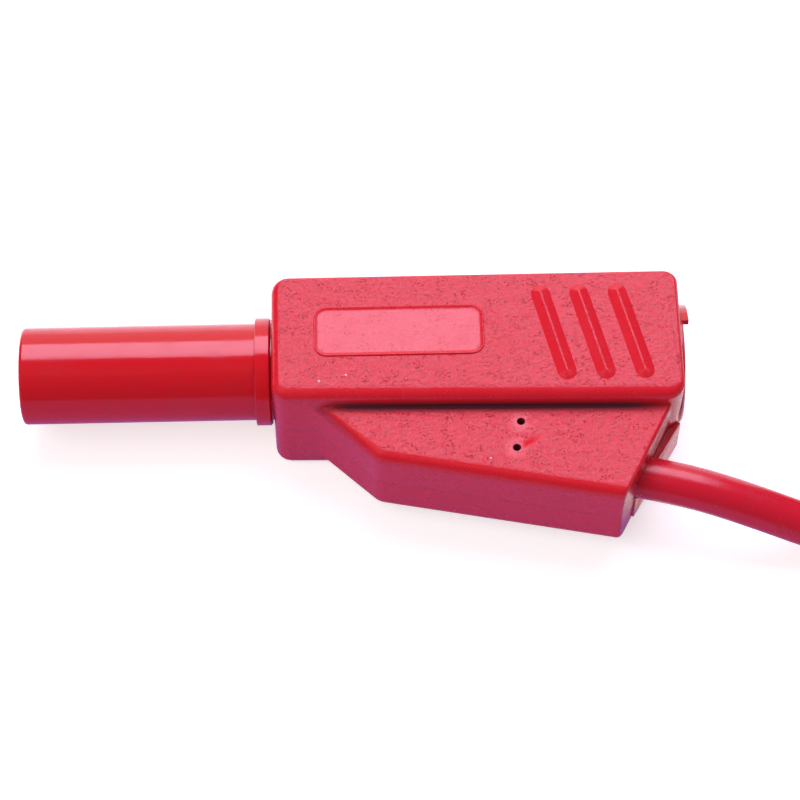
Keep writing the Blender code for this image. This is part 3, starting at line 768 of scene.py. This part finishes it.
# a long thin ellipsoid that cuts the groove where the wing meets the block
def junctionCutter(j, look):
    bpy.ops.mesh.primitive_uv_sphere_add(segments=40, ring_count=24, radius=1)
    cutter = bpy.context.object
    bpy.ops.transform.rotate(value=math.pi / 2, orient_axis="Y", center_override=(0, 0, 0))
    applyPlace(cutter)
    middle = (j["fromX"] + j["toX"]) / 2
    wall = look["wallAt"] + look["wallSlope"] * middle
    cutter.scale = Vector(((j["toX"] - j["fromX"]) / 2, j["width"] / 2, j["deep"])) * mm
    cutter.rotation_euler = (0, 0, math.atan(look["wallSlope"]))
    cutter.location = Vector((middle, wall - j["width"] * j["inWall"], look["wingTop"])) * mm
    applyPlace(cutter)
    return cutter


def useTool(piece, tool, operation):
    applyModifier(piece, "BOOLEAN", object=tool, operation=operation, solver="EXACT")
    bpy.data.objects.remove(tool)


def partingGroove(piece, height, g):
    def atHeight(point):
        return abs(point.z - height) < g["within"]

    def outside(a, b):
        side = min(a.y, b.y) < g["nearSide"] or max(a.y, b.y) > g["farSide"]
        end = abs(a.x) > g["endX"] and abs(a.y) > g["endSide"]
        return atHeight(a) and atHeight(b) and (side or end)

    editMode(piece)
    bpy.ops.mesh.select_all(action="SELECT")
    bpy.ops.mesh.bisect(plane_co=(0, 0, height * mm), plane_no=(0, 0, 1))
    bpy.ops.mesh.select_mode(type="EDGE")
    selectEdges(piece, outside)
    bpy.ops.mesh.bevel(offset=g["half"] * mm, segments=2, clamp_overlap=True)
    bpy.ops.mesh.select_mode(type="VERT")
    objectMode()
    for vertex in piece.data.vertices:
        vertex.select = atHeight(vertex.co / mm)
    bpy.ops.object.mode_set(mode="EDIT")
    bpy.ops.transform.shrink_fatten(value=-g["deep"] * mm)
    objectMode()


def softRibs(piece, r):
    editMode(piece, "EDGE")
    selectEdges(piece, lambda a, b: min(a.z, b.z) > r["above"])
    bpy.ops.mesh.bevel(offset=r["edge"] * mm, segments=3, clamp_overlap=True)
    objectMode()


def isRibFoot(a, b):
    return (min(a.z, b.z) > ribs["footLow"] and max(a.z, b.z) < ribs["footHigh"]
            and min(a.x, b.x) > ribs["fromX"] and max(a.x, b.x) < ribs["toX"]
            and abs(a.y) < ribs["halfY"] and abs(b.y) < ribs["halfY"])


shell = refined("housing", "housingShell")
softRibs(shell, ribs)
useTool(shell, junctionCutter(junction, housingLook), "DIFFERENCE")
useTool(shell, mouldedPlate(plate), "UNION")
partingGroove(shell, housingLook["parting"], groove)
smoothShade(shell, 38, isRibFoot)
print("housing shaped", len(shell.data.polygons), "faces")

nearPieces = [(shell, moulded, "housing", "moulded_red")]
for nodeName, pieceName, material, slotName in (
        ("shroud", "shroudTube", glossRed, "gloss_red"),
        ("rear_sleeve", "rearSleeve", glossRed, "gloss_red"),
        ("contact_pin", "contactPin", turnedBrass, "turned_brass"),
        ("lamella_cage", "lamellaCage", springMetal, "spring_metal"),
        ("rear_socket", "rearSocket", turnedBrass, "turned_brass"),
        ("crimp_terminal", "crimpTerminal", turnedBrass, "turned_brass"),
        ("conductor", "strandedConductor", bareCopper, "bare_copper")):
    piece = refined(nodeName, pieceName)
    smoothShade(piece, 40)
    nearPieces.append((piece, material, nodeName, slotName))

onCable = []
for piece, material, nodeName, slotName in nearPieces:
    dressed(piece, material, nodeName, slotName=slotName)
    makeActive(piece)
    bpy.ops.object.duplicate()
    twin = bpy.context.object
    twin.name = "far" + piece.name[0].upper() + piece.name[1:]
    twin.data.transform(farTurn)
    dressed(twin, mouldedFar if material == moulded else material, "far_" + nodeName, slotName=slotName)
    onCable.append(twin)
print("plugs dressed")

# strap round the hank, in mm
strap = {"width": 9.0, "thickness": 0.4, "corner": 1.6, "edge": 0.09}
strapLap = {"width": 8.4, "length": 13.0, "across": 2.0, "lift": 0.02, "round": 3.2, "edge": 0.1}


def makeBand(s, low, high):
    span = high - low
    bpy.ops.mesh.primitive_cube_add(size=1)
    band = bpy.context.object
    band.name = "strapBand"
    band.scale = Vector((s["width"], span.y - 2 * s["thickness"], span.z - 2 * s["thickness"])) * mm
    band.location = (high + low) / 2 * mm
    applyPlace(band)
    editMode(band, "EDGE")
    selectEdges(band, lambda a, b: abs(a.x - b.x) > 1)
    bpy.ops.mesh.bevel(offset=s["corner"] * mm, segments=6, clamp_overlap=False)
    bpy.ops.mesh.select_mode(type="FACE")
    selectFaces(band, lambda centre, normal: abs(normal.x) > 0.9)
    bpy.ops.mesh.delete(type="FACE")
    bpy.ops.mesh.select_all(action="SELECT")
    bpy.ops.mesh.subdivide(number_cuts=3)
    objectMode()
    applyModifier(band, "SOLIDIFY", thickness=s["thickness"] * mm, offset=1.0)
    applyModifier(band, "BEVEL", width=s["edge"] * mm, segments=2, limit_method="ANGLE")
    smoothShade(band, 50)
    return band


def makeLap(s, thickness, low, high):
    middle = (high + low) / 2
    bpy.ops.mesh.primitive_cube_add(size=1)
    lap = bpy.context.object
    lap.name = "strapEnd"
    lap.scale = Vector((s["width"], s["length"], thickness)) * mm
    lap.location = Vector((middle.x, middle.y + s["across"], high.z + thickness * 0.5 + s["lift"])) * mm
    applyPlace(lap)
    editMode(lap, "EDGE")
    selectEdges(lap, lambda a, b: abs(a.z - b.z) > 0.1 and a.y < middle.y)
    bpy.ops.mesh.bevel(offset=s["round"] * mm, segments=8, clamp_overlap=True)
    objectMode()
    applyModifier(lap, "BEVEL", width=s["edge"] * mm, segments=2, limit_method="ANGLE")
    smoothShade(lap, 40)
    return lap


strapLow, strapHigh = (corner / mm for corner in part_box("hank_strap"))
strapBand = makeBand(strap, strapLow, strapHigh)
strapEnd = makeLap(strapLap, strap["thickness"], strapLow, strapHigh)
dressed(strapBand, webbing, "hank_strap", slotName="strap_black")
dressed(strapEnd, webbing, slotName="strap_black")
onCable += [strapBand, strapEnd]
print("strap made")

# floor and light, in metres
studio = {
    "floorSize": 6,
    "floorDrop": 0.00005,
    "floorColour": (0.80, 0.80, 0.82),
    "floorGlow": 0.6,
    "surround": (0.22, 0.22, 0.24),
    "aim": (0.0, -0.003, 0.006),
    "backLight": {"place": (0.05, 0.34, 0.60), "size": 0.52, "power": 4.6, "colour": (0.82, 0.73, 1.0)},
    "frontLight": {"place": (-0.42, -0.22, 0.66), "size": 0.6, "power": 2.4, "colour": (1.0, 0.98, 0.97)},
    "black": (0.01, 0.01, 0.01),
    "tent": {"radius": 0.95, "windowSide": 28.0, "windowTop": 71.0, "slitSide": 120.0, "slitTop": 12.0},
    "cardHeight": 0.0004,
    "cards": {
        "plugCard": {"low": (-0.5, -0.9), "high": (0.0135, 0.0), "glow": (0.36, 0.22, 0.66)},
        "cableCard": {"low": (0.0135, -0.9), "high": (0.5, -0.0135), "glow": (0.36, 0.24, 0.72)},
    },
}


def seenDirectly(tree):  # 1 for camera, glossy and transmission rays
    rays = tree.nodes.new("ShaderNodeLightPath").outputs
    through = mathNode(tree, "MAXIMUM", rays["Is Glossy Ray"], rays["Is Transmission Ray"])
    return mathNode(tree, "MAXIMUM", rays["Is Camera Ray"], through)


def makeFloor(s):
    bpy.ops.mesh.primitive_plane_add(size=s["floorSize"])
    floor = bpy.context.object
    floor.name = "floor"
    floor.location.z = -s["floorDrop"]
    applyPlace(floor)
    material = bpy.data.materials.new("paleFloor")
    material.use_nodes = True
    tree = material.node_tree
    tree.nodes.clear()
    diffuse = addNode(tree, "ShaderNodeBsdfDiffuse", {"Color": (*s["floorColour"], 1)})
    glow = addNode(tree, "ShaderNodeEmission", {"Color": (1, 1, 1, 1),
                   "Strength": times(tree, seenDirectly(tree), s["floorGlow"])})
    both = addNode(tree, "ShaderNodeAddShader", {0: diffuse.outputs[0], 1: glow.outputs[0]})
    addNode(tree, "ShaderNodeOutputMaterial", {"Surface": both.outputs[0]})
    floor.data.materials.append(material)


def makeSurround(s):
    world = bpy.data.worlds.new("surround")
    bpy.context.scene.world = world
    world.use_nodes = True
    tree = world.node_tree
    colour = mixColour(tree, seenDirectly(tree), s["surround"], (1.0, 1.0, 1.0))
    tree.links.new(colour, tree.nodes["Background"].inputs["Color"])


def addSoftbox(name, box, aim):
    bpy.ops.object.light_add(type="AREA")
    lamp = bpy.context.object
    lamp.name = name
    lamp.data.size = box["size"]
    lamp.data.energy = box["power"]
    lamp.data.color = box["colour"]
    lamp.location = box["place"]
    lamp.rotation_euler = (Vector(aim) - Vector(box["place"])).to_track_quat("-Z", "Y").to_euler()
    return lamp


def hideExceptGlossy(piece):
    piece.visible_camera = False
    piece.visible_diffuse = False
    piece.visible_shadow = False
    piece.visible_transmission = False


# black cloth tent that keeps reflections out, open towards the back light
def makeTent(t, black):
    bpy.ops.mesh.primitive_uv_sphere_add(segments=72, ring_count=45, radius=t["radius"])
    tent = bpy.context.object
    tent.name = "blackTent"

    def isOpen(centre, normal):
        side = math.degrees(math.atan2(centre.x, centre.y))
        height = math.degrees(math.asin(centre.z / centre.length))
        window = abs(side) < t["windowSide"] and height < t["windowTop"]
        slit = t["windowSide"] <= side < t["slitSide"] and height < t["slitTop"]
        return height < 0 or window or slit

    editMode(tent, "FACE")
    selectFaces(tent, isOpen)
    bpy.ops.mesh.delete(type="FACE")
    objectMode()
    tent.data.materials.append(newMaterial("tentCloth", black, 1.0)[0])
    hideExceptGlossy(tent)


# a sheet of tinted card before the object, which only its reflections show
def makeCard(name, c, height, black):
    bpy.ops.mesh.primitive_plane_add(size=1)
    card = bpy.context.object
    card.name = name
    card.scale = (c["high"][0] - c["low"][0], c["high"][1] - c["low"][1], 1)
    card.location = ((c["high"][0] + c["low"][0]) / 2, (c["high"][1] + c["low"][1]) / 2, height)
    applyPlace(card)
    material, tree, shader = newMaterial(name + "Paper", black, 1.0)
    shader["Emission Color"].default_value = (*c["glow"], 1)
    shader["Emission Strength"].default_value = 1.0
    card.data.materials.append(material)
    hideExceptGlossy(card)


makeFloor(studio)
makeSurround(studio)
addSoftbox("backSoftbox", studio["backLight"], studio["aim"])
addSoftbox("frontSoftbox", studio["frontLight"], studio["aim"]).visible_glossy = False
makeTent(studio["tent"], studio["black"])
for cardName, card in studio["cards"].items():
    makeCard(cardName, card, studio["cardHeight"], studio["black"])
bpy.context.scene.view_settings.view_transform = "Standard"
print("studio set")
